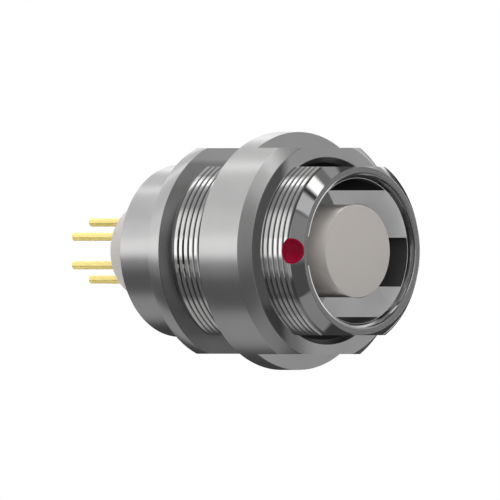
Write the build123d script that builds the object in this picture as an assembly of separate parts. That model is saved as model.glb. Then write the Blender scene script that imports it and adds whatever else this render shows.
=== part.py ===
from build123d import *
import math
import os

# Push-pull panel receptacle with six straight board pins, in millimetres.
# The connector axis is Y and the plug comes in from -Y. The origin is on the axis, in the
# plane where the panel seats on the flange. The red index dot is on the -X side.

# Mouth that takes the plug, and the shell's walls outwards from it. The barrel is drawn at the
# crests of its thread, 14 mm across with 0.5 mm pitch, and its grooves are left out.
mouth_d = 10.9
mouth_chamfer = 0.35
lip_land = 0.3
barrel_wall = 1.55
flat_depth = 0.875
nose_len = 12.8
flange_lip = 1.0
flange_flat_depth = 0.525
flange_t = 1.1
skirt_step = 0.25
skirt_wall = 0.55
skirt_len = 4.45
shoulder_depth = 5.0

# Grooves and keyways inside the shell
groove_depth = 0.3
latch_groove_w = 1.2
latch_groove_from_lip = 3.2
crown_groove_from_lip = 5.4
crown_groove_w = 1.6
keyway_w = 2.1
pin_slot_angle = 60.0

# Front nut: round collar behind, two flats in front, chamfered nose
nut_wall = 1.65
nut_flat_depth = 1.15
nut_len = 4.65
nut_collar_len = 1.8
nut_chamfer_run = 0.7
nut_chamfer_len = 0.8
nut_bore_chamfer = 0.25
clamp_gap = 4.65
nut_clear = 0.04

# Keying sleeve around the insulator, with its plug openings
plug_gap = 2.05
sleeve_setback = 0.48
sleeve_clear = 0.03
sleeve_edge = 0.1
sleeve_collar_t = 2.4
pocket_depth = 7.0
upper_pocket_gap = 1.0
pocket_rim = 0.13
lower_pocket_gap = 1.4
side_slot_top = 0.97
side_slot_bottom = 2.59
open_sector_start = 125.5
open_sector_end = 225.6
key_overlap = 0.03

# Insulators
insulator_proud = 0.06
insulator_collar_w = 0.3
insulator_collar_len = 1.2
insulator_clear = 0.02
boss_step = 0.11
boss_len = 3.82

# Contacts on their circle
contact_count = 6
contact_circle_d = 4.14
contact_first_angle = 30.0
tail_d = 0.6
tail_len = 5.1
tail_chamfer = 0.1
contact_body_d = 0.94
socket_wall = 0.34
socket_bore_d = 0.52
socket_bore_len = 4.5
socket_slit_w = 0.12
socket_slit_len = 3.6
socket_web = 0.6
contact_clear = 0.02

# Small pieces that hold and seal the insert
washer_t = 0.3
washer_gap = 0.16
ring_t = 1.8
ring_gap = 0.31
ring_clear = 0.04
ring_slot_w = 1.2
ring_slot_depth = 0.8
locating_pin_d = 0.7
locating_pin_len = 4.4
locating_pin_clear = 0.02
seal_side = 0.7
seal_groove_w = 1.0
seal_from_shoulder = 3.4
seal_clear = 0.005
crown_clear = 0.02
crown_t = 0.22
crown_fingers = 12
crown_slit_w = 0.5
crown_slit_len = 1.0

# Index dot: a round-bottomed dimple across the corner of cone and thread, filled with enamel
dot_ball_d = 2.2
dot_chord = 1.69
dot_tilt = 32.6
dot_back_from_cone = 0.47
enamel_t = 0.1

# Diameters, worked out from the walls and steps above
lip_face_d = mouth_d + 2 * mouth_chamfer
lip_d = lip_face_d + 2 * lip_land
thread_d = mouth_d + 2 * barrel_wall
barrel_flats = thread_d - 2 * flat_depth
flange_d = thread_d + 2 * flange_lip
flange_flats = flange_d - 2 * flange_flat_depth
groove_d = mouth_d + 2 * groove_depth
skirt_bore_d = mouth_d + 2 * skirt_step
skirt_d = skirt_bore_d + 2 * skirt_wall
nut_d = thread_d + 2 * nut_wall
nut_flats = nut_d - 2 * nut_flat_depth
nut_face_d = nut_d - 2 * nut_chamfer_run
insulator_d = mouth_d - 2 * plug_gap
insulator_collar_d = insulator_d + 2 * insulator_collar_w
boss_d = insulator_d - 2 * boss_step
washer_bore_d = boss_d + 2 * washer_gap
ring_bore_d = boss_d + 2 * ring_gap
socket_d = socket_bore_d + 2 * socket_wall
upper_pocket_z = insulator_d / 2 + upper_pocket_gap
lower_pocket_z = insulator_d / 2 + lower_pocket_gap
pocket_d = mouth_d - 2 * (sleeve_clear + pocket_rim)
key_underside_z = insulator_d / 2 - key_overlap

# Stations along the axis, worked out from the sizes above
lip_y = -nose_len
cone_len = (thread_d - lip_d) / 2
thread_y = lip_y + cone_len
skirt_y = flange_t + skirt_len
shoulder_y = skirt_y - shoulder_depth
sleeve_y = lip_y + sleeve_setback
insulator_y = sleeve_y - insulator_proud
sleeve_back_y = shoulder_y + sleeve_collar_t
joint_y = sleeve_back_y - insulator_collar_len
washer_y = sleeve_back_y + washer_t
ring_y = washer_y + ring_t
boss_y = skirt_y + boss_len
tip_y = boss_y + tail_len
nut_back_y = -clamp_gap
nut_front_y = nut_back_y - nut_len
pocket_y = sleeve_y + pocket_depth


def turned(outline):
    """Solid of revolution about the Y axis from (radius, y) points."""
    return revolve(make_face(Polyline(*outline, close=True)), Axis.Y)


def bar(radius, start, end):
    return turned([(0, start), (radius, start), (radius, end), (0, end)])


def tube(inner, outer, start, end):
    return turned([(inner, start), (outer, start), (outer, end), (inner, end)])


def block(low, high):
    """Box between two corners."""
    size = [b - a for a, b in zip(low, high)]
    middle = [(a + b) / 2 for a, b in zip(low, high)]
    return Pos(*middle) * Box(*size)


def about_axis(shape, angle):
    """Turn a shape that is drawn on +X to an angle from +X towards +Z."""
    return Rot(0, -angle, 0) * shape


def between_flats(radius, flats, start, end):
    """What two flats leave of a round bar, to be kept by intersection."""
    return block((-radius, start, -flats / 2), (radius, end, flats / 2))


def dot_centre():
    """Centre of the ball that mills the dimple, as (radius, y), before it goes to -X."""
    tilt = math.radians(dot_tilt)
    half = dot_chord / 2
    lift = math.sqrt((dot_ball_d / 2) ** 2 - half ** 2)
    start_y = thread_y + dot_back_from_cone
    radius = thread_d / 2 - half * math.sin(tilt) + lift * math.cos(tilt)
    return radius, start_y - half * math.cos(tilt) - lift * math.sin(tilt)


def dot_ball(wall=0.0):
    radius, y = dot_centre()
    return Pos(-radius, y, 0) * Sphere(dot_ball_d / 2 - wall)


def shell_blank():
    """Turned outside, with the bores, the two bore grooves and the barrel's flats."""
    mouth = mouth_d / 2
    face = lip_face_d / 2
    latch_y = lip_y + latch_groove_from_lip
    crown_y = lip_y + crown_groove_from_lip
    groove = groove_d / 2
    outline = [
        (face, lip_y),
        (lip_d / 2, lip_y),
        (thread_d / 2, thread_y),
        (thread_d / 2, 0),
        (flange_d / 2, 0),
        (flange_d / 2, flange_t),
        (skirt_d / 2, flange_t),
        (skirt_d / 2, skirt_y),
        (skirt_bore_d / 2, skirt_y),
        (skirt_bore_d / 2, shoulder_y),
        (mouth, shoulder_y),
        (mouth, crown_y + crown_groove_w),
        (groove, crown_y + crown_groove_w),
        (groove, crown_y),
        (mouth, crown_y),
        (mouth, latch_y + latch_groove_w),
        (groove, latch_y + latch_groove_w),
        (groove, latch_y),
        (mouth, latch_y),
        (mouth, lip_y + mouth_chamfer),
    ]
    body = turned(outline)
    wide = flange_d
    barrel = between_flats(wide, barrel_flats, lip_y, 0)
    flange = between_flats(wide, flange_flats, 0, skirt_y)
    return body & (barrel + flange)


def locating_pin_bar(clearance=0.0):
    """The pin lies half in the shell and half in the sleeve, up to the washer."""
    start = sleeve_back_y - locating_pin_len - clearance
    pin = bar(locating_pin_d / 2 + clearance, start, sleeve_back_y)
    return about_axis(Pos(mouth_d / 2, 0, 0) * pin, pin_slot_angle)


def make_shell():
    key = block((-lip_face_d / 2, lip_y, -keyway_w / 2), (0, pocket_y, keyway_w / 2))
    return shell_blank() - key - locating_pin_bar(locating_pin_clear) - dot_ball()


def make_index_dot():
    return (shell_blank() & dot_ball()) - dot_ball(enamel_t)


def make_front_nut():
    bore = thread_d / 2 + nut_clear
    lead = nut_bore_chamfer
    chamfer_y = nut_front_y + nut_chamfer_len
    body = turned([
        (bore + lead, nut_front_y),
        (nut_face_d / 2, nut_front_y),
        (nut_d / 2, chamfer_y),
        (nut_d / 2, nut_back_y),
        (bore, nut_back_y),
        (bore, nut_front_y + lead),
    ])
    step_y = nut_back_y - nut_collar_len
    front = between_flats(nut_d, nut_flats, nut_front_y, step_y)
    collar = between_flats(nut_d, nut_d, step_y, nut_back_y)
    return body & (front + collar)


def open_side():
    """What the sleeve leaves out on the index side: a wedge, and a flat under each key."""
    sweep = open_sector_end - open_sector_start
    corners = [(0, sleeve_y), (mouth_d, sleeve_y), (mouth_d, pocket_y), (0, pocket_y)]
    wedge = revolve(make_face(Polyline(*corners, close=True)), Axis.Y, revolution_arc=-sweep)
    low = (-mouth_d, sleeve_y, -key_underside_z)
    return about_axis(wedge, open_sector_start) + block(low, (0, pocket_y, key_underside_z))


def make_keying_sleeve():
    inner = insulator_d / 2 + insulator_clear
    outer = mouth_d / 2 - sleeve_clear
    seat = insulator_collar_d / 2 + insulator_clear
    seat_y = joint_y - insulator_collar_len
    seal_y = shoulder_y - seal_from_shoulder
    seal_root = mouth_d / 2 - seal_side - seal_clear * 2
    body = turned([
        (inner, sleeve_y),
        (outer - sleeve_edge, sleeve_y),
        (outer, sleeve_y + sleeve_edge),
        (outer, seal_y),
        (seal_root, seal_y),
        (seal_root, seal_y + seal_groove_w),
        (outer, seal_y + seal_groove_w),
        (outer, shoulder_y),
        (skirt_bore_d / 2 - sleeve_clear, shoulder_y),
        (skirt_bore_d / 2 - sleeve_clear, sleeve_back_y),
        (seat, sleeve_back_y),
        (seat, seat_y),
        (inner, seat_y),
    ])
    reach = mouth_d
    upper = block((-reach, sleeve_y, upper_pocket_z), (reach, pocket_y, reach))
    lower = block((-reach, sleeve_y, -reach), (reach, pocket_y, -lower_pocket_z))
    side = block((0, sleeve_y, -side_slot_bottom), (reach, pocket_y, side_slot_top))
    pockets = (upper + lower + side) & bar(pocket_d / 2, sleeve_y, pocket_y)
    return body - pockets - open_side() - locating_pin_bar(locating_pin_clear)


def on_contact_circle(shape):
    """One copy of a shape for each contact, in order."""
    step = 360 / contact_count
    seated = Pos(contact_circle_d / 2, 0, 0) * shape
    return [about_axis(seated, contact_first_angle + step * i) for i in range(contact_count)]


def cut_all(body, cutters):
    for cutter in cutters:
        body = body - cutter
    return body


def make_front_insulator():
    collar_y = joint_y - insulator_collar_len
    body = bar(insulator_d / 2, insulator_y, joint_y)
    body = body + bar(insulator_collar_d / 2, collar_y, joint_y)
    socket = bar(socket_d / 2 + contact_clear, insulator_y + socket_web, joint_y)
    return cut_all(body, on_contact_circle(socket))


def make_rear_insulator():
    body = bar(insulator_collar_d / 2, joint_y, sleeve_back_y)
    body = body + bar(boss_d / 2, sleeve_back_y, boss_y)
    hole = bar(contact_body_d / 2 + contact_clear, joint_y, boss_y)
    return cut_all(body, on_contact_circle(hole))


def make_contacts():
    """Turned contacts: slit socket in front, held by its shoulder at the joint, thin tail behind."""
    front = insulator_y + socket_web + contact_clear
    body_r = contact_body_d / 2
    tail = tail_d / 2
    bore = socket_bore_d / 2
    body = turned([
        (bore, front),
        (socket_d / 2, front),
        (socket_d / 2, joint_y),
        (body_r, joint_y),
        (body_r, boss_y),
        (tail, boss_y),
        (tail, tip_y - tail_chamfer),
        (tail - tail_chamfer, tip_y),
        (0, tip_y),
        (0, front + socket_bore_len),
        (bore, front + socket_bore_len),
    ])
    half = socket_slit_w / 2
    slit = block((-socket_d, front, -half), (socket_d, front + socket_slit_len, half))
    return on_contact_circle(body - slit)


def make_slip_washer():
    return tube(washer_bore_d / 2, skirt_bore_d / 2 - ring_clear, sleeve_back_y, washer_y)


def make_retaining_ring():
    """Screwed in behind the insert; a two-pin spanner fits its slots."""
    outer = skirt_bore_d / 2 - ring_clear
    body = tube(ring_bore_d / 2, outer, washer_y, ring_y)
    half = ring_slot_w / 2
    return body - block((-outer, ring_y - ring_slot_depth, -half), (outer, ring_y, half))


def make_insert_seal():
    """Square-section ring, in the middle of the sleeve's groove."""
    outer = mouth_d / 2 - seal_clear
    low = shoulder_y - seal_from_shoulder + (seal_groove_w - seal_side) / 2
    return tube(outer - seal_side, outer, low, low + seal_side)


def make_earthing_crown():
    """Slotted spring ring in its bore groove, level with the sleeve's plug openings."""
    outer = groove_d / 2 - crown_clear
    start = lip_y + crown_groove_from_lip + crown_clear
    end = start + crown_groove_w - 2 * crown_clear
    body = tube(outer - crown_t, outer, start, end)
    half = crown_slit_w / 2
    slit = block((0, start, -half), (outer * 2, start + crown_slit_len, half))
    step = 360 / crown_fingers
    return cut_all(body, [about_axis(slit, step * (i + 0.5)) for i in range(crown_fingers)])


def main():
    os.makedirs("parts", exist_ok=True)
    pieces = {
        "shell": make_shell(),
        "front_nut": make_front_nut(),
        "keying_sleeve": make_keying_sleeve(),
        "front_insulator": make_front_insulator(),
        "rear_insulator": make_rear_insulator(),
        "slip_washer": make_slip_washer(),
        "retaining_ring": make_retaining_ring(),
        "locating_pin": locating_pin_bar(),
        "insert_seal": make_insert_seal(),
        "earthing_crown": make_earthing_crown(),
        "index_dot": make_index_dot(),
    }
    for number, contact in enumerate(make_contacts(), start=1):
        pieces[f"contact_{number}"] = contact
    for name, piece in pieces.items():
        export_step(piece, f"parts/{name}.step")
        print(name, round(piece.volume, 3))


main()
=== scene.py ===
from math import cos, degrees, pi, radians, sin, sqrt

import bmesh
import bpy
from mathutils import Matrix, Vector


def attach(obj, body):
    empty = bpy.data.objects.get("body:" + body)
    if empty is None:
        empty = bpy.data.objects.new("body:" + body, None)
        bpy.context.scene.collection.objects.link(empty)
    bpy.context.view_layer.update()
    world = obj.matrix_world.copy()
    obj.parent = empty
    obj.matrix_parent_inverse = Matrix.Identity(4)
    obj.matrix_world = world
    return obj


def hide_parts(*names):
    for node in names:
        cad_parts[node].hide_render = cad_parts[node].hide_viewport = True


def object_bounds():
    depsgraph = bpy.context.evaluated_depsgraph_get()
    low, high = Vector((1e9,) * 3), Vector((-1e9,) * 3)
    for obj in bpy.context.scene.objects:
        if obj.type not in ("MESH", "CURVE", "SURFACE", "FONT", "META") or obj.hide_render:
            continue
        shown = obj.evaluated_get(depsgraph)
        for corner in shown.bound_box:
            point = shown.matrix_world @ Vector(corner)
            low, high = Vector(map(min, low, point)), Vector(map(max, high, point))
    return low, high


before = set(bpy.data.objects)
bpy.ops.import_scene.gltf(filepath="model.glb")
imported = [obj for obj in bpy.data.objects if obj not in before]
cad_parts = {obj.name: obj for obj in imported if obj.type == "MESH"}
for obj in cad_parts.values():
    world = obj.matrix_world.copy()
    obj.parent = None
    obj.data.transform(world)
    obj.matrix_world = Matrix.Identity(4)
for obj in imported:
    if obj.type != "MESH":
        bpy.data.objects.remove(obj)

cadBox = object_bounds()
print("stage 1: frame loaded with", len(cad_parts), "nodes")

# Lengths below are millimetres on the connector axis, which is Y; meshes are scaled at the end
millimetre = 0.001
turnSteps = 192
cutReach = 10                               # cutting boxes end this far out, clear of the part
overcut = 1                                 # a cut runs this far past the face it opens
meshLimits = {"onAxis": 1e-6, "weld": 1e-4, "degenerate": 1e-5, "cornerAngle": 40,
              "sharpAngle": 28, "bevelSegments": 3, "ballDivisions": 5}


# Mesh helpers

def spunOutline(outline, rounding=0.0, steps=turnSteps):    # outline is (radius, y) pairs, closed
    bm = bmesh.new()
    points = [bm.verts.new((radius, y, 0)) for radius, y in outline]
    bm.faces.new(points)
    if rounding:
        corners = []
        for before, point, after in zip(points[-1:] + points, points, points[1:] + points[:1]):
            turn = (point.co - before.co).angle(after.co - point.co)
            if point.co.x > meshLimits["onAxis"] and turn > radians(meshLimits["cornerAngle"]):
                corners.append(point)
        bmesh.ops.bevel(bm, geom=corners, offset=rounding, segments=meshLimits["bevelSegments"],
                        profile=0.5, affect="VERTICES", material=-1)
    bmesh.ops.delete(bm, geom=bm.faces[:], context="FACES_ONLY")
    onAxis = [e for e in bm.edges if all(v.co.x < meshLimits["onAxis"] for v in e.verts)]
    bmesh.ops.delete(bm, geom=onAxis, context="EDGES")
    geom = bm.verts[:] + bm.edges[:]
    bmesh.ops.spin(bm, geom=geom, cent=(0, 0, 0), axis=(0, 1, 0), angle=2 * pi, steps=steps,
                   use_merge=True)
    bmesh.ops.remove_doubles(bm, verts=bm.verts, dist=meshLimits["weld"])
    bmesh.ops.recalc_face_normals(bm, faces=bm.faces)
    return bm


def quarterRound(centre, radius, start, steps):             # points of a quarter turn, in degrees
    angles = [radians(start + 90 * i / steps) for i in range(steps + 1)]
    return [(centre[0] + radius * cos(a), centre[1] + radius * sin(a)) for a in angles]


def capped(bm):                             # closes a swept or halved cutter
    bmesh.ops.holes_fill(bm, edges=[e for e in bm.edges if e.is_boundary])
    bmesh.ops.recalc_face_normals(bm, faces=bm.faces)
    return bm


def boxBetween(low, high):
    bm = bmesh.new()
    middle = [(a + b) / 2 for a, b in zip(low, high)]
    size = [b - a for a, b in zip(low, high)]
    bmesh.ops.create_cube(bm, size=1)
    bmesh.ops.scale(bm, vec=size, verts=bm.verts)
    bmesh.ops.translate(bm, vec=middle, verts=bm.verts)
    return bm


def sphereAt(centre, radius):
    bm = bmesh.new()
    bmesh.ops.create_icosphere(bm, subdivisions=meshLimits["ballDivisions"], radius=radius)
    bmesh.ops.translate(bm, vec=centre, verts=bm.verts)
    return bm


def blank(name, bm):                        # a loose object, still in millimetres
    mesh = bpy.data.meshes.new(name)
    bm.to_mesh(mesh)
    bm.free()
    piece = bpy.data.objects.new(name, mesh)
    bpy.context.scene.collection.objects.link(piece)
    return piece


def carve(piece, bm, operation="DIFFERENCE"):
    carveWith(piece, blank("cutter", bm), operation)


def carveWith(piece, tool, operation="DIFFERENCE"):         # uses the tool up
    boolean = piece.modifiers.new("carve", "BOOLEAN")
    boolean.operation = operation
    boolean.solver = "EXACT"
    boolean.object = tool
    solved = piece.evaluated_get(bpy.context.evaluated_depsgraph_get())
    mesh = bpy.data.meshes.new_from_object(solved)
    piece.modifiers.clear()
    piece.data = mesh
    bpy.data.objects.remove(tool)


def finishPiece(piece, node, material):               # takes the place of one CAD node
    bm = bmesh.new()
    bm.from_mesh(piece.data)
    bmesh.ops.dissolve_degenerate(bm, edges=bm.edges, dist=meshLimits["degenerate"])
    bmesh.ops.scale(bm, vec=(millimetre,) * 3, verts=bm.verts)
    bm.to_mesh(piece.data)
    bm.free()
    piece.data.shade_smooth()
    piece.data.set_sharp_from_angle(angle=radians(meshLimits["sharpAngle"]))
    weighted = piece.modifiers.new("flatFaces", "WEIGHTED_NORMAL")
    weighted.mode = "FACE_AREA"
    weighted.weight = 100
    weighted.keep_sharp = True
    piece.visible_glossy = False                            # the metal reflects the studio alone
    piece.data.materials.clear()
    piece.data.materials.append(material)
    body = "clamping_nut" if node == "front_nut" else "receptacle"
    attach(piece, body)
    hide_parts(node)


# Shader helpers

class Signal:                               # a node's output that takes part in sums
    def __init__(self, paint, socket):
        self.paint, self.socket = paint, socket

    def combine(self, operation, first, second=0.0, third=0.0):
        node = self.paint.node("ShaderNodeMath", {"operation": operation},
                               {0: first, 1: second, 2: third})
        return Signal(self.paint, node.outputs[0])

    def __add__(self, other): return self.combine("ADD", self, other)
    def __radd__(self, other): return self.combine("ADD", other, self)
    def __sub__(self, other): return self.combine("SUBTRACT", self, other)
    def __rsub__(self, other): return self.combine("SUBTRACT", other, self)
    def __mul__(self, other): return self.combine("MULTIPLY", self, other)
    def __truediv__(self, other): return self.combine("DIVIDE", self, other)
    def __pow__(self, other): return self.combine("POWER", self, other)


class Paint:                                # the node tree of one material or of the world
    def __init__(self, owner):
        owner.use_nodes = True
        self.tree = owner.node_tree
        self.tree.nodes.clear()

    def node(self, kind, settings=None, inputs=None):
        made = self.tree.nodes.new(kind)
        for name, value in (settings or {}).items():
            setattr(made, name, value)
        for name, value in (inputs or {}).items():
            if isinstance(value, Signal):
                self.tree.links.new(value.socket, made.inputs[name])
            else:
                made.inputs[name].default_value = value
        return made

    def get(self, kind, settings=None, inputs=None, output=0):
        return Signal(self, self.node(kind, settings, inputs).outputs[output])

    def shape(self, value, low, high, start=0.0, end=1.0):      # smooth step between two levels
        return self.get("ShaderNodeMapRange", {"interpolation_type": "SMOOTHSTEP"},
                        {"Value": value, "From Min": low, "From Max": high,
                         "To Min": start, "To Max": end})

    def blendColours(self, factor, first, second):
        node = self.node("ShaderNodeMix", {"data_type": "RGBA"}, {0: factor})
        for slot, colour in ((6, first), (7, second)):
            if isinstance(colour, Signal):
                self.tree.links.new(colour.socket, node.inputs[slot])
            else:
                node.inputs[slot].default_value = (*colour, 1)
        return Signal(self, node.outputs[2])


def newMaterial(name):
    material = bpy.data.materials.new(name)
    return material, Paint(material)


noise = {"cloudDetail": 3.0, "fineDetail": 2.0, "cloudEdges": (0.3, 0.7)}


def speckle(paint, place, scale, detail):
    return paint.get("ShaderNodeTexNoise", None,
                     {"Vector": place, "Scale": scale, "Detail": detail})


def turnedCoordinate(paint):                # grows along a bar and outwards over a faced end
    place = paint.get("ShaderNodeTexCoord", output="Object")
    parts = paint.node("ShaderNodeSeparateXYZ", None, {0: place})
    x, y, z = (Signal(paint, parts.outputs[i]) for i in range(3))
    radius = (x * x + z * z) ** 0.5
    return place, radius + y


def ringMask(paint, place, ranges):         # one inside the ranges of y, radius, z and x
    parts = paint.node("ShaderNodeSeparateXYZ", None, {0: place})
    x, y, z = (Signal(paint, parts.outputs[i]) / millimetre for i in range(3))
    radius = (x * x + z * z) ** 0.5
    inside = None
    for value, limits in zip((y, radius, z, x), ranges):
        if limits:
            low, high, *blurs = limits
            lowSoft, highSoft = blurs[0] / 2, blurs[-1] / 2
            within = paint.shape(value, low - lowSoft, low + lowSoft) \
                * paint.shape(value, high - highSoft, high + highSoft, 1, 0)
            inside = within if inside is None else inside * within
    return inside


def platedMetal(name, finish):
    material, paint = newMaterial(name)
    place, travel = turnedCoordinate(paint)
    cloud = speckle(paint, place, finish["cloudScale"], noise["cloudDetail"])
    grain = speckle(paint, place, finish["grainScale"], noise["fineDetail"])
    lineSeed = paint.get("ShaderNodeCombineXYZ", None, {0: travel * finish["lineScale"]})
    lines = speckle(paint, lineSeed, 1.0, noise["fineDetail"])
    tint = paint.blendColours(paint.shape(cloud, *noise["cloudEdges"]), finish["darkTint"],
                              finish["tint"])
    if "crests" in finish:
        tint = paint.blendColours(ringMask(paint, place, finish["crests"]), tint,
                                  finish["crestTint"])
    roughness = finish["roughness"] + (cloud - 0.5) * finish["roughnessSpread"] \
        + (lines - 0.5) * finish["lineRoughness"]
    for _, ranges, added in finish.get("satin", []):
        roughness = roughness + ringMask(paint, place, ranges) * added
    bump = paint.get("ShaderNodeBump", None,
                     {"Strength": finish["bump"], "Distance": finish["bumpDepth"],
                      "Height": lines * finish["lineShare"] + grain * (1 - finish["lineShare"])})
    bright = paint.get("ShaderNodeBsdfPrincipled", None,
                       {"Base Color": tint, "Metallic": 1.0, "Roughness": roughness,
                        "Normal": bump})
    # the matt coat: in the finishes with a near-black matt colour it is painted shade laid over the
    # metal
    matt = paint.get("ShaderNodeBsdfDiffuse", None, {"Color": (*finish["matt"], 1)})
    # painted shade: inside each shade row the metal gives way to the matt coat by the row's depth
    lit = None
    for _, ranges, depth in finish["shades"]:
        left = 1 - ringMask(paint, place, ranges) * depth
        lit = left if lit is None else lit * left
    shader = paint.get("ShaderNodeMixShader", None, {0: lit, 1: matt, 2: bright})
    paint.node("ShaderNodeOutputMaterial", None, {"Surface": shader})
    return material


# Finishes. Their places are in millimetres on the connector axis, each a low, a high and the blur
# of both ends or of each. A shade row holds a name, its ranges of y, radius, z and x, and how much
# of the metal gives way there to a diffuse coat of the finish's matt colour. With the near-black
# matt colours this is painted shade: it darkens recesses, grooves and faces beside other parts as
# occlusion and shadow would, and dims some reflections.

barrelY = (-11.93, -0.5, 0.01)
grooveR, crestR = (6.4, 6.94, 0.02), (6.94, 7.1, 0.01)
betweenFlats = (-6.08, 6.08, 0.02)
flangeFaceY, flangeFaceR = (-0.1, 0.03, 0.01), (6.0, 8.2, 0.1)
mouthEdgeY, mouthEdgeR = (-12.72, -12.3, 0.04), (5.2, 5.51, 0.04)
polishedFinish = {
    "tint": (0.78, 0.78, 0.775), "darkTint": (0.73, 0.73, 0.73), "matt": (0.02, 0.02, 0.02),
    "roughness": 0.05, "roughnessSpread": 0.03, "lineRoughness": 0.03,
    "cloudScale": 320.0, "grainScale": 9000.0, "lineScale": 24000.0, "lineShare": 0.8,
    "bump": 0.03, "bumpDepth": 0.00001,
    "crests": (barrelY, crestR, (-6.11, 6.11, 0.01)), "crestTint": (1.0, 1.0, 0.99),
    "satin": [("flange and skirt", ((-0.6, 9, 0.02), None, None), 0.2)],
    # painted shade: the near-black matt coat darkens the lip face, grooves, bands of crests, the
    # relief, the flange face, the cone's far side and the mouth's wall and edge
    "shades": [
        ("lip face", ((-14, -12.785, 0.01), None, None), 0.45),
        ("upper grooves", (barrelY, grooveR, (-0.3, 6.08, 0.6, 0.02)), 0.85),
        ("middle grooves", (barrelY, grooveR, (-3.6, -0.3, 0.6)), 0.6),
        ("lower grooves", (barrelY, grooveR, (-6.08, -3.6, 0.02, 0.6)), 0.8),
        ("upper crests", (barrelY, crestR, (2.9, 4.6, 0.9)), 0.6),
        ("top crests", (barrelY, crestR, (5.4, 6.12, 0.1)), 0.45),
        ("lower front crests", ((-11.93, -9.3, 0.01), crestR, (-4.7, -3.1, 0.5)), 0.3),
        ("cone's far side", ((-12.76, -11.93, 0.02), (6.08, 7.05, 0.02), (0.6, 6.2, 0.6),
                             (3.1, 9, 0.8)), 0.95),
        ("beside the nut", ((-10.1, -5.6, 1.4), (6.4, 7.1, 0.02), betweenFlats), 0.4),
        ("relief", ((-0.49, -0.02, 0.01), (6.4, 6.95, 0.02), betweenFlats), 0.8),
        ("flange face", (flangeFaceY, flangeFaceR, (-9, 6.5, 0.5)), 0.38),
        ("flange face side", (flangeFaceY, flangeFaceR, (-9, 1.6, 2.6)), 0.42),
        ("flange face low side", (flangeFaceY, flangeFaceR, (-6.3, -1.9, 1.0)), 0.3),
        ("mouth wall", ((-12.4, 9, 0.04), (5.2, 5.7, 0.02), None), 0.75),
        ("mouth edge's right side", ((-12.77, -12.67, 0.01), (5.52, 5.63, 0.02), None,
                                     (2, 9, 1)), 0.8),
        ("mouth edge above", (mouthEdgeY, mouthEdgeR, (-2.5, 9, 0.6)), 0.75),
        ("mouth edge below", (mouthEdgeY, mouthEdgeR, (-9, -2.5, 0.6), (1.5, 9, 1)), 0.75),
    ],
}

nutBoreY, nutBoreEdgeR = (-9.28, -4.6, 0.01), (6.43, 6.84, 0.01)
nutFaceY, nutFaceR = (-9.4, -9.28, 0.01), (6.8, 7.92, 0.06)
satinFinish = {
    "tint": (0.77, 0.77, 0.765), "darkTint": (0.72, 0.72, 0.715), "matt": (0.012, 0.012, 0.012),
    "roughness": 0.24, "roughnessSpread": 0.05, "lineRoughness": 0.08,
    "cloudScale": 260.0, "grainScale": 14000.0, "lineScale": 30000.0, "lineShare": 0.7,
    "bump": 0.14, "bumpDepth": 0.00001,
    "satin": [("nut chamfer", ((-9.28, -8.5, 0.02), (7.9, 8.7, 0.02), None), 0.1)],
    # painted shade: the nut's bore, its lead and its front face beside and below the barrel are
    # darkened into the near-black matt coat, as shadow
    "shades": [
        ("nut bore", (nutBoreY, (6.0, 6.44, 0.01), None), 0.99),
        ("nut bore edge", (nutBoreY, nutBoreEdgeR, None), 0.74),
        ("nut bore edge below", (nutBoreY, nutBoreEdgeR, (-9, -4, 1.0)), 0.7),
        ("face beside the barrel", (nutFaceY, nutFaceR, None, (-9, -4.4, 1.2)), 0.78),
        ("face below the barrel", (nutFaceY, nutFaceR, (-9, -4, 1.0), (-9, -2.4, 3.0)), 0.55),
    ],
}

behindFaceY, leftX = (-12.31, 9, 0.01), (-9, -1.5, 0.3)
keyingFinish = {
    "tint": (0.84, 0.84, 0.84), "darkTint": (0.8, 0.8, 0.8), "matt": (0.019, 0.019, 0.019),
    "roughness": 0.36, "roughnessSpread": 0.06, "lineRoughness": 0.05,
    "cloudScale": 420.0, "grainScale": 16000.0, "lineScale": 22000.0, "lineShare": 0.25,
    "bump": 0.15, "bumpDepth": 0.00001,
    # painted shade: the sleeve behind its front face is darkened into the near-black matt coat, as
    # the mouth's shadow
    "shades": [
        ("below the face", (behindFaceY, None, None, (-1.5, 9, 0.3)), 0.95),
        ("upper left", (behindFaceY, None, (4.39, 9, 0.02), leftX), 0.85),
        ("open side", (behindFaceY, None, (0, 4.38, 0.02), leftX), 0.3),
        ("lower left", (behindFaceY, None, (-9, 0, 0.02), leftX), 0.6),
        ("slot", (behindFaceY, None, (-2.7, 1.1, 0.02), (0, 9, 0.1)), 0.5),
    ],
}

crownFinish = {
    "tint": (0.72, 0.64, 0.44), "darkTint": (0.62, 0.54, 0.36), "matt": (0.02, 0.018, 0.014),
    "roughness": 0.3, "roughnessSpread": 0.08, "lineRoughness": 0.05,
    "cloudScale": 500.0, "grainScale": 12000.0, "lineScale": 18000.0, "lineShare": 0.5,
    "bump": 0.12, "bumpDepth": 0.00001,
    # painted shade: the crown deep in the shell's bore is darkened into the near-black matt coat
    "shades": [("deep in the bore", ((-12, 9, 0.1), None, None), 0.85)],
}

goldFinish = {
    "tint": (1.0, 0.88, 0.38), "darkTint": (0.98, 0.84, 0.34), "matt": (1.0, 0.8, 0.27),
    "roughness": 0.26, "roughnessSpread": 0.04, "lineRoughness": 0.03,
    "cloudScale": 900.0, "grainScale": 15000.0, "lineScale": 26000.0, "lineShare": 0.6,
    "bump": 0.03, "bumpDepth": 0.00001,
    "shades": [("tails", ((9.0, 16, 0.02), None, None), 0.38)],
}

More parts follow.
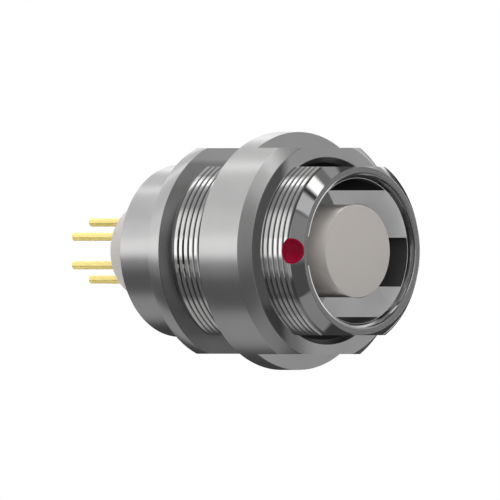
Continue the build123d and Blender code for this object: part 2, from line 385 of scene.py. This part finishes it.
insulatorFinish = {
    "tint": (0.405, 0.381, 0.363), "shade": (0.385, 0.362, 0.345),
    "roughness": 0.55, "roughnessSpread": 0.12, "gloss": 0.5,
    "cloudScale": 380.0, "grainScale": 11000.0, "bump": 0.06, "bumpDepth": 0.00002,
    # painted light and shade: the front face is darker and the upper and lower side lighter,
    # standing in for the lamp on the face and the light the mouth's shadow takes from the side
    "zones": [                              # name, ranges as in a shade row, colour
        ("front face", ((-13, -12.345, 0.01), None, None), (0.245, 0.23, 0.219)),
        ("upper side", ((-12.3, 0, 0.02), None, (2.9, 4, 0.9)), (0.9, 0.85, 0.81)),
        ("lower side", ((-12.3, 0, 0.02), None, (-4, -2.9, 0.8)), (0.7, 0.66, 0.63)),
    ],
}

enamelFinish = {
    "tint": (0.14, 0.0005, 0.013), "shade": (0.11, 0.0005, 0.009),
    "roughness": 0.5, "roughnessSpread": 0.12, "gloss": 0.06,
    "cloudScale": 1600.0, "grainScale": 7000.0, "bump": 0.1, "bumpDepth": 0.00001,
}

sealFinish = {
    "tint": (0.03, 0.03, 0.032), "shade": (0.018, 0.018, 0.02),
    "roughness": 0.6, "roughnessSpread": 0.12, "gloss": 0.5,
    "cloudScale": 600.0, "grainScale": 9000.0, "bump": 0.2, "bumpDepth": 0.00002,
}


def mouldedMaterial(name, finish):
    material, paint = newMaterial(name)
    place = paint.get("ShaderNodeTexCoord", output="Object")
    cloud = speckle(paint, place, finish["cloudScale"], noise["cloudDetail"])
    grain = speckle(paint, place, finish["grainScale"], noise["cloudDetail"])
    tint = paint.blendColours(paint.shape(cloud, *noise["cloudEdges"]), finish["shade"],
                              finish["tint"])
    # painted light and shade: each zone's colour takes over the tint inside its ranges
    for _, ranges, colour in finish.get("zones", []):
        tint = paint.blendColours(ringMask(paint, place, ranges), tint, colour)
    bump = paint.get("ShaderNodeBump", None,
                     {"Strength": finish["bump"], "Distance": finish["bumpDepth"], "Height": grain})
    roughness = finish["roughness"] + (cloud - 0.5) * finish["roughnessSpread"]
    shader = paint.get("ShaderNodeBsdfPrincipled", None,
                       {"Base Color": tint, "Roughness": roughness, "Normal": bump,
                        "Specular IOR Level": finish["gloss"]})
    paint.node("ShaderNodeOutputMaterial", None, {"Surface": shader})
    return material


polishedNickel = platedMetal("polishedNickel", polishedFinish)
satinNickel = platedMetal("satinNickel", satinFinish)
keyingNickel = platedMetal("keyingNickel", keyingFinish)
crownBrass = platedMetal("crownBrass", crownFinish)
contactGold = platedMetal("contactGold", goldFinish)
insulatorGrey = mouldedMaterial("insulatorGrey", insulatorFinish)
indexRed = mouldedMaterial("indexRed", enamelFinish)
sealBlack = mouldedMaterial("sealBlack", sealFinish)
print("stage 2: materials made")


# Shell: lip, threaded barrel with flats, flange and skirt

shellSizes = {
    "mouthR": 5.45, "lipInnerR": 5.8, "lipOuterR": 6.1, "threadR": 7.0, "flangeR": 8.0,
    "skirtR": 6.25, "skirtBoreR": 5.7, "grooveR": 5.75,
    "lipY": -12.8, "coneEndY": -11.9, "flangeBackY": 1.1, "skirtY": 5.55, "shoulderY": 0.55,
    "latchY": -9.6, "latchW": 1.2, "crownY": -7.4, "crownW": 1.6,
    "pitch": 0.5, "threadDepth": 0.3, "grooveTop": 0.22, "grooveRoot": 0.04, "threadSteps": 96,
    "threadStart": 0.7, "threadEnd": 0.9,   # turns before the cone's end, share of the relief
    "relief": 0.5, "mouthSteps": 8,
    "barrelFlat": 6.125, "flangeFlat": 7.475, "flangeCutY": (-0.2, 1.5), "edge": 0.03,
    "keyHalf": 1.05, "keyEndY": -5.32,
}

dotSizes = {"ballR": 1.1, "chord": 1.69, "tilt": 32.6, "backFromCone": 0.47, "enamel": 0.09}


def shellBlank(rounding):
    s = shellSizes
    rootR = s["threadR"] - s["threadDepth"]
    outline = [
        (s["lipInnerR"], s["lipY"]), (s["lipOuterR"], s["lipY"]), (s["threadR"], s["coneEndY"]),
        (s["threadR"], -s["relief"]), (rootR, -s["relief"]), (rootR, 0),
        (s["flangeR"], 0), (s["flangeR"], s["flangeBackY"]), (s["skirtR"], s["flangeBackY"]),
        (s["skirtR"], s["skirtY"]), (s["skirtBoreR"], s["skirtY"]),
        (s["skirtBoreR"], s["shoulderY"]),
        (s["mouthR"], s["shoulderY"]),
        (s["mouthR"], s["crownY"] + s["crownW"]), (s["grooveR"], s["crownY"] + s["crownW"]),
        (s["grooveR"], s["crownY"]), (s["mouthR"], s["crownY"]),
        (s["mouthR"], s["latchY"] + s["latchW"]), (s["grooveR"], s["latchY"] + s["latchW"]),
        (s["grooveR"], s["latchY"]), (s["mouthR"], s["latchY"]),
    ]
    mouthRound = s["lipInnerR"] - s["mouthR"]
    centre = (s["lipInnerR"], s["lipY"] + mouthRound)
    mouth = quarterRound(centre, mouthRound, start=180, steps=s["mouthSteps"])
    return spunOutline(outline + mouth[:-1], rounding)


def threadCutter():                         # groove section swept along a right-handed helix
    s = shellSizes
    rootR = s["threadR"] - s["threadDepth"]
    root = s["grooveRoot"] / 2
    half = s["grooveTop"] / 2
    overR = s["threadR"] + s["threadDepth"] / 2
    overHalf = half + (half - root) / 2
    startY = s["coneEndY"] - s["pitch"] * s["threadStart"]
    turns = (-s["relief"] * s["threadEnd"] - startY) / s["pitch"]
    steps = round(turns * s["threadSteps"])
    bm = bmesh.new()
    section = [(rootR, root), (rootR, -root), (overR, -overHalf), (overR, overHalf)]
    verts = [bm.verts.new((radius, startY + y, 0)) for radius, y in section]
    edges = [bm.edges.new((verts[i - 1], verts[i])) for i in range(4)]
    bmesh.ops.spin(bm, geom=verts + edges, cent=(0, 0, 0), axis=(0, 1, 0), angle=2 * pi * turns,
                   steps=steps, dvec=(0, turns * s["pitch"] / steps, 0))
    return capped(bm)


def dotCentre():
    s, d = shellSizes, dotSizes
    tilt = radians(d["tilt"])
    half = d["chord"] / 2
    lift = sqrt(d["ballR"] ** 2 - half ** 2)
    radius = s["threadR"] - half * sin(tilt) + lift * cos(tilt)
    return (-radius, s["coneEndY"] + d["backFromCone"] - half * cos(tilt) - lift * sin(tilt), 0)


def makeShell():
    s = shellSizes
    shell = blank("threadedShell", shellBlank(s["edge"]))
    carve(shell, threadCutter())
    flats = ((s["barrelFlat"], s["lipY"] - overcut, 0), (s["flangeFlat"], *s["flangeCutY"]))
    for side in (-1, 1):
        for flat, start, end in flats:
            near, far = sorted((side * flat, side * cutReach))
            carve(shell, boxBetween((-cutReach, start, near), (cutReach, end, far)))
    carve(shell, boxBetween((-s["lipInnerR"], s["lipY"] - overcut, -s["keyHalf"]),
                            (0, s["keyEndY"], s["keyHalf"])))
    carve(shell, sphereAt(dotCentre(), dotSizes["ballR"]))
    finishPiece(shell, "shell", polishedNickel)


def makeIndexDot():
    dot = blank("indexEnamel", shellBlank(0))
    carve(dot, sphereAt(dotCentre(), dotSizes["ballR"]), "INTERSECT")
    carve(dot, sphereAt(dotCentre(), dotSizes["ballR"] - dotSizes["enamel"]))
    finishPiece(dot, "index_dot", indexRed)


makeShell()
makeIndexDot()
print("stage 3: shell cut")


# Front nut

nutSizes = {
    "outerR": 8.65, "faceR": 7.95, "boreR": 6.42, "boreEdgeR": 6.83, "frontY": -9.3,
    "chamferY": -8.5, "stepY": -6.45, "backY": -4.65, "flat": 7.5, "edge": 0.035,
}


def makeNut():
    s = nutSizes
    lead = s["boreEdgeR"] - s["boreR"]
    nut = blank("clampNut", spunOutline([
        (s["boreR"], s["frontY"] + lead), (s["boreEdgeR"], s["frontY"]), (s["faceR"], s["frontY"]),
        (s["outerR"], s["chamferY"]), (s["outerR"], s["backY"]), (s["boreR"], s["backY"])],
        s["edge"]))
    for side in (-1, 1):
        near, far = sorted((side * s["flat"], side * cutReach))
        carve(nut, boxBetween((-cutReach, s["frontY"] - overcut, near),
                              (cutReach, s["stepY"], far)))
    finishPiece(nut, "front_nut", satinNickel)


makeNut()
print("stage 4: nut cut")


# Keying sleeve: a tube with a flat-sided pocket above and below, a side slot and an open sector

sleeveSizes = {
    "innerR": 3.42, "outerR": 5.42, "collarR": 5.67, "seatR": 3.72, "frontY": -12.32,
    "seatY": 0.55, "shoulderY": 0.55, "backY": 2.95, "pocketEndY": -5.32,
    "sealRootR": 4.74, "sealY": -2.85, "sealW": 1.0,
    "upperZ": 4.4, "pocketR": 5.29, "lowerZ": 4.8, "slotTop": 0.97, "slotBottom": 2.59,
    "openStart": 125.5, "openEnd": 225.6, "openInnerR": 1.0, "openOuterR": 7.0, "openSteps": 48,
    "keyZ": 3.37, "frontEdge": 0.1, "edge": 0.02,
}


def pocketCutter(point, normal):            # the pockets' round bar, cut off by a plane
    s = sleeveSizes
    bm = bmesh.new()
    depth = s["pocketEndY"] - s["frontY"] + overcut
    bmesh.ops.create_cone(bm, cap_ends=True, segments=turnSteps, radius1=s["pocketR"],
                          radius2=s["pocketR"], depth=depth)
    bmesh.ops.rotate(bm, cent=(0, 0, 0), matrix=Matrix.Rotation(pi / 2, 3, "X"), verts=bm.verts)
    bmesh.ops.translate(bm, vec=(0, s["pocketEndY"] - depth / 2, 0), verts=bm.verts)
    bmesh.ops.bisect_plane(bm, geom=bm.verts[:] + bm.edges[:] + bm.faces[:], plane_co=point,
                           plane_no=normal, clear_inner=True)
    return capped(bm)


def openCutter():                           # the wedge left open on the index side
    s = sleeveSizes
    bm = bmesh.new()
    front = s["frontY"] - overcut
    corners = [(s["openInnerR"], front), (s["openOuterR"], front),
               (s["openOuterR"], s["pocketEndY"]), (s["openInnerR"], s["pocketEndY"])]
    verts = [bm.verts.new((radius, y, 0)) for radius, y in corners]
    edges = [bm.edges.new((verts[i - 1], verts[i])) for i in range(4)]
    turn = Matrix.Rotation(-radians(s["openStart"]), 3, "Y")
    bmesh.ops.rotate(bm, cent=(0, 0, 0), matrix=turn, verts=bm.verts)
    sweep = radians(s["openEnd"] - s["openStart"])
    bmesh.ops.spin(bm, geom=verts + edges, cent=(0, 0, 0), axis=(0, 1, 0), angle=-sweep,
                   steps=s["openSteps"])
    return capped(bm)


def makeSleeve():
    s = sleeveSizes
    sleeve = blank("keyedSleeve", spunOutline([
        (s["innerR"], s["frontY"]), (s["outerR"] - s["frontEdge"], s["frontY"]),
        (s["outerR"], s["frontY"] + s["frontEdge"]), (s["outerR"], s["sealY"]),
        (s["sealRootR"], s["sealY"]), (s["sealRootR"], s["sealY"] + s["sealW"]),
        (s["outerR"], s["sealY"] + s["sealW"]), (s["outerR"], s["shoulderY"]),
        (s["collarR"], s["shoulderY"]), (s["collarR"], s["backY"]), (s["seatR"], s["backY"]),
        (s["seatR"], s["seatY"]), (s["innerR"], s["seatY"])], s["edge"]))
    front = s["frontY"] - overcut
    carve(sleeve, pocketCutter((0, 0, s["upperZ"]), (0, 0, 1)))
    carve(sleeve, pocketCutter((0, 0, -s["lowerZ"]), (0, 0, -1)))
    slot = blank("slotCutter", pocketCutter((0, 0, 0), (1, 0, 0)))
    carve(slot, boxBetween((0, front - overcut, -s["slotBottom"]), (cutReach, 0, s["slotTop"])),
          "INTERSECT")
    carveWith(sleeve, slot)
    carve(sleeve, openCutter())
    carve(sleeve, boxBetween((-cutReach, front, -s["keyZ"]), (0, s["pocketEndY"], s["keyZ"])))
    finishPiece(sleeve, "keying_sleeve", keyingNickel)


makeSleeve()
print("stage 5: sleeve cut")


# Insulators, contacts and the ring behind them

insertSizes = {
    "frontR": 3.4, "frontY": -12.38, "collarR": 3.7, "collarY": 0.55, "jointY": 1.75,
    "backY": 2.95, "bossR": 3.29, "bossY": 9.37, "edge": 0.05,
}
contactSizes = {
    "circleR": 2.07, "firstAngle": 30, "count": 6, "tailR": 0.3, "tipY": 14.47, "tipRounding": 0.12,
    "bodyR": 0.47, "socketR": 0.6, "boreR": 0.26, "frontY": -11.76, "boreDepth": 4.5, "steps": 40,
    "slitHalf": 0.06, "slitLen": 3.6, "clear": 0.02, "edge": 0.03,
}
ringSizes = {
    "innerR": 3.6, "outerR": 5.66, "frontY": 3.25, "backY": 5.05, "slotHalf": 0.6,
    "slotDepth": 0.8, "edge": 0.08,
}


def contactTurns():                         # each contact's turn about the connector axis
    s = contactSizes
    angles = [s["firstAngle"] + 360 / s["count"] * number for number in range(s["count"])]
    return [Matrix.Rotation(-radians(angle), 4, "Y") for angle in angles]


def contactBores(radius, start, end):
    s = contactSizes
    bm = bmesh.new()
    for turn in contactTurns():
        place = turn @ Matrix.Translation((s["circleR"], (start + end) / 2, 0))
        bmesh.ops.create_cone(bm, cap_ends=True, segments=s["steps"], radius1=radius,
                              radius2=radius, depth=end - start,
                              matrix=place @ Matrix.Rotation(pi / 2, 4, "X"))
    return bm


def makeInsulators():
    s, c = insertSizes, contactSizes
    front = blank("socketInsulator", spunOutline([
        (0, s["frontY"]), (s["frontR"], s["frontY"]), (s["frontR"], s["collarY"]),
        (s["collarR"], s["collarY"]), (s["collarR"], s["jointY"]), (0, s["jointY"])], s["edge"]))
    carve(front, contactBores(c["socketR"] + c["clear"], c["frontY"] - c["clear"],
                              s["jointY"] + overcut))
    finishPiece(front, "front_insulator", insulatorGrey)
    rear = blank("pinInsulator", spunOutline([
        (0, s["jointY"]), (s["collarR"], s["jointY"]), (s["collarR"], s["backY"]),
        (s["bossR"], s["backY"]), (s["bossR"], s["bossY"]), (0, s["bossY"])], s["edge"]))
    carve(rear, contactBores(c["bodyR"] + c["clear"], s["jointY"] - overcut,
                             s["bossY"] + overcut))
    finishPiece(rear, "rear_insulator", insulatorGrey)


def makeContacts():
    s = contactSizes
    chamfer = s["tipRounding"]
    pattern = blank("contactPattern", spunOutline([
        (s["boreR"], s["frontY"]), (s["socketR"], s["frontY"]),
        (s["socketR"], insertSizes["jointY"]), (s["bodyR"], insertSizes["jointY"]),
        (s["bodyR"], insertSizes["bossY"]), (s["tailR"], insertSizes["bossY"]),
        (s["tailR"], s["tipY"] - chamfer),
        (s["tailR"] - chamfer, s["tipY"]), (0, s["tipY"]),
        (0, s["frontY"] + s["boreDepth"]), (s["boreR"], s["frontY"] + s["boreDepth"])],
        s["edge"], s["steps"]))
    carve(pattern, boxBetween((-overcut, s["frontY"] - overcut, -s["slitHalf"]),
                              (overcut, s["frontY"] + s["slitLen"], s["slitHalf"])))
    for number, turn in enumerate(contactTurns(), 1):
        bm = bmesh.new()
        bm.from_mesh(pattern.data)
        place = turn @ Matrix.Translation((s["circleR"], 0, 0))
        bmesh.ops.transform(bm, matrix=place, verts=bm.verts)
        contact = blank(f"boardPin{number}", bm)
        finishPiece(contact, f"contact_{number}", contactGold)
    bpy.data.objects.remove(pattern)


def makeRing():
    s = ringSizes
    ring = blank("spannerRing", spunOutline([
        (s["innerR"], s["frontY"]), (s["outerR"], s["frontY"]), (s["outerR"], s["backY"]),
        (s["innerR"], s["backY"])], s["edge"]))
    carve(ring, boxBetween((-cutReach, s["backY"] - s["slotDepth"], -s["slotHalf"]),
                           (cutReach, s["backY"] + overcut, s["slotHalf"])))
    finishPiece(ring, "retaining_ring", satinNickel)


makeInsulators()
makeContacts()
makeRing()
for node, material in (("slip_washer", satinNickel), ("locating_pin", satinNickel),
                       ("insert_seal", sealBlack), ("earthing_crown", crownBrass)):
    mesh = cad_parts[node].data        # these CAD pieces are carried as they are
    mesh.materials.clear()
    mesh.materials.append(material)
print("stage 6: insert, pins and ring made")


# Stage: pale floor, white surroundings for the camera, a studio of panels for the metal.
# From here on lengths are metres.

stageSizes = {"half": 1.2, "drop": 0.0002, "glow": 0.5, "tint": (0.85, 0.85, 0.85)}
studio = {
    "dark": 0.05, "ySoft": 0.08, "seamSoft": 0.3,
    # Name, start and its blur, end and its blur in degrees about the axis, low y, high y, level
    "panels": [
        ("high wall behind", 34, 14, 188, 8, 0.0, 1.2, 0.55),
        ("overhead strip behind", 84, 5, 95, 5, 0.0, 1.2, 0.5),
        ("left wall behind", 140, 12, 185, 6, 0.0, 1.2, 0.1),
        ("left strip behind", 165, 6, 185, 6, 0.0, 1.2, 0.24),
        ("low wall behind", 185, 6, 205, 6, 0.0, 1.2, 0.15),
        ("left foot behind", 205, 6, 241, 10, 0.0, 1.2, 0.045),
        ("floor behind", 241, 12, 289, 22, 0.0, 1.2, 0.24),
        ("far wall", 4, 10, 44, 24, 0.58, 1.2, 0.9),
        ("overhead strip", 88, 5, 101, 5, -1.2, 0.0, 1.3),
        ("high wall", 108, 5, 129, 5, -1.2, 0.0, 0.5),
        ("left wall", 131, 5, 194, 14, -1.2, 0.0, 0.2),
        ("left foot", 196, 8, 238, 8, -1.2, 0.0, 0.03),
        ("right foot", 44, 8, 66, 8, -1.2, 0.1, 0.025),
        ("right strip", 66, 5, 76, 5, -1.2, 0.0, 0.28),
        ("right strip's foot", 75, 3, 89, 5, -1.2, 0.0, 0.13),
        ("right wall", -26, 5, 50, 5, -1.2, -0.3, 0.3),
        ("right low light", 6, 8, 28, 6, 0.26, 0.39, 1.1),
        ("nose light", -19, 6, 18, 10, -0.42, 0.2, 1.0),
        ("right low wall", 18, 10, 50, 6, -0.3, 0.26, 0.3),
        ("floor panel", 239, 5, 283, 5, -1.2, 0.0, 0.2),
        ("floor edge", 308, 4, 320, 5, -1.2, 0.0, 0.24),
    ],
}


def makeFloor():
    bm = bmesh.new()
    bmesh.ops.create_grid(bm, x_segments=1, y_segments=1, size=stageSizes["half"])
    bmesh.ops.translate(bm, vec=(0, 0, cadBox[0][2] - stageSizes["drop"]), verts=bm.verts)
    floor = blank("floor", bm)
    material, paint = newMaterial("paleFloor")
    seen = paint.get("ShaderNodeLightPath", output="Is Camera Ray")
    matt = paint.get("ShaderNodeBsdfDiffuse", None, {"Color": (*stageSizes["tint"], 1)})
    glow = paint.get("ShaderNodeEmission", None, {"Color": (1, 1, 1, 1), "Strength": 1.0})
    mixed = paint.get("ShaderNodeMixShader", None, {0: seen * stageSizes["glow"], 1: matt, 2: glow})
    paint.node("ShaderNodeOutputMaterial", None, {"Surface": mixed})
    floor.data.materials.append(material)
    floor.visible_glossy = False


def makeWorld():
    world = bpy.data.worlds.new("studio")
    bpy.context.scene.world = world
    paint = Paint(world)
    direction = paint.node("ShaderNodeSeparateXYZ", None,
                           {0: paint.get("ShaderNodeTexCoord", output="Generated")})
    x, y, z = (Signal(paint, direction.outputs[i]) for i in range(3))
    angle = x.combine("ARCTAN2", z, x) * degrees(1)     # about the connector axis, 90 is overhead

    around = None
    for _, start, startBlur, end, endBlur, lowY, highY, strength in studio["panels"]:
        middle, half = (start + end) / 2, (end - start) / 2
        away = x.combine("WRAP", angle - middle, 180, -180)
        lit = paint.shape(away, -half - startBlur / 2, -half + startBlur / 2) \
            * paint.shape(away, half - endBlur / 2, half + endBlur / 2, strength, 0)
        for edge, inside in ((lowY, 1), (highY, -1)):
            soft = (studio["ySoft"] if edge else studio["seamSoft"]) / 2
            if abs(edge) < 1:               # an edge past 1 is never reached
                lit = lit * paint.shape(y * inside, edge * inside - soft, edge * inside + soft)
        around = lit if around is None else around + lit
    around = around + studio["dark"]
    seen = paint.get("ShaderNodeLightPath", output="Is Camera Ray")
    level = seen + around * (1 - seen)
    background = paint.get("ShaderNodeBackground", None, {"Color": (1, 1, 1, 1), "Strength": level})
    paint.node("ShaderNodeOutputWorld", None, {"Surface": background})


# Camera: level with the connector, half right of its nose, with no perspective

cameraSizes = {
    "target": (0, -0.00155, 0.00007), "azimuth": -46.3, "distance": 0.4, "width": 0.03634,
    "clip": (0.01, 5),
}
lampSizes = [                               # name, place, size, power
    ("topLamp", (-0.1, -0.15, 0.5), 0.3, 2.8),
    ("frontLamp", (-0.45, -0.35, 0.12), 0.3, 0.8),
    ("noseLamp", (-0.12, -0.45, 0.27), 0.3, 1.2),
    ("rearLamp", (0.1, 0.45, 0.3), 0.3, 1.6),
]


def makeCamera():
    c = cameraSizes
    camera = bpy.data.objects.new("camera", bpy.data.cameras.new("camera"))
    camera.data.type = "ORTHO"
    camera.data.ortho_scale = c["width"]
    camera.data.clip_start, camera.data.clip_end = c["clip"]
    turn = radians(c["azimuth"])
    back = Vector((sin(turn), -cos(turn), 0))
    camera.location = Vector(c["target"]) + back * c["distance"]
    camera.rotation_mode = "QUATERNION"
    camera.rotation_quaternion = (-back).to_track_quat("-Z", "Y")
    bpy.context.scene.collection.objects.link(camera)
    bpy.context.scene.camera = camera


def makeLamps():
    for name, place, size, power in lampSizes:
        light = bpy.data.lights.new(name, "AREA")
        light.shape = "DISK"
        light.size, light.energy = size, power
        lamp = bpy.data.objects.new(name, light)
        lamp.location = place
        lamp.rotation_mode = "QUATERNION"
        lamp.rotation_quaternion = (-Vector(place)).to_track_quat("-Z", "Y")
        lamp.visible_glossy = False
        bpy.context.scene.collection.objects.link(lamp)


makeFloor()
makeWorld()
makeCamera()
makeLamps()
bpy.context.scene.view_settings.view_transform = "Standard"
print("stage 7: floor, studio, lamps and camera set")
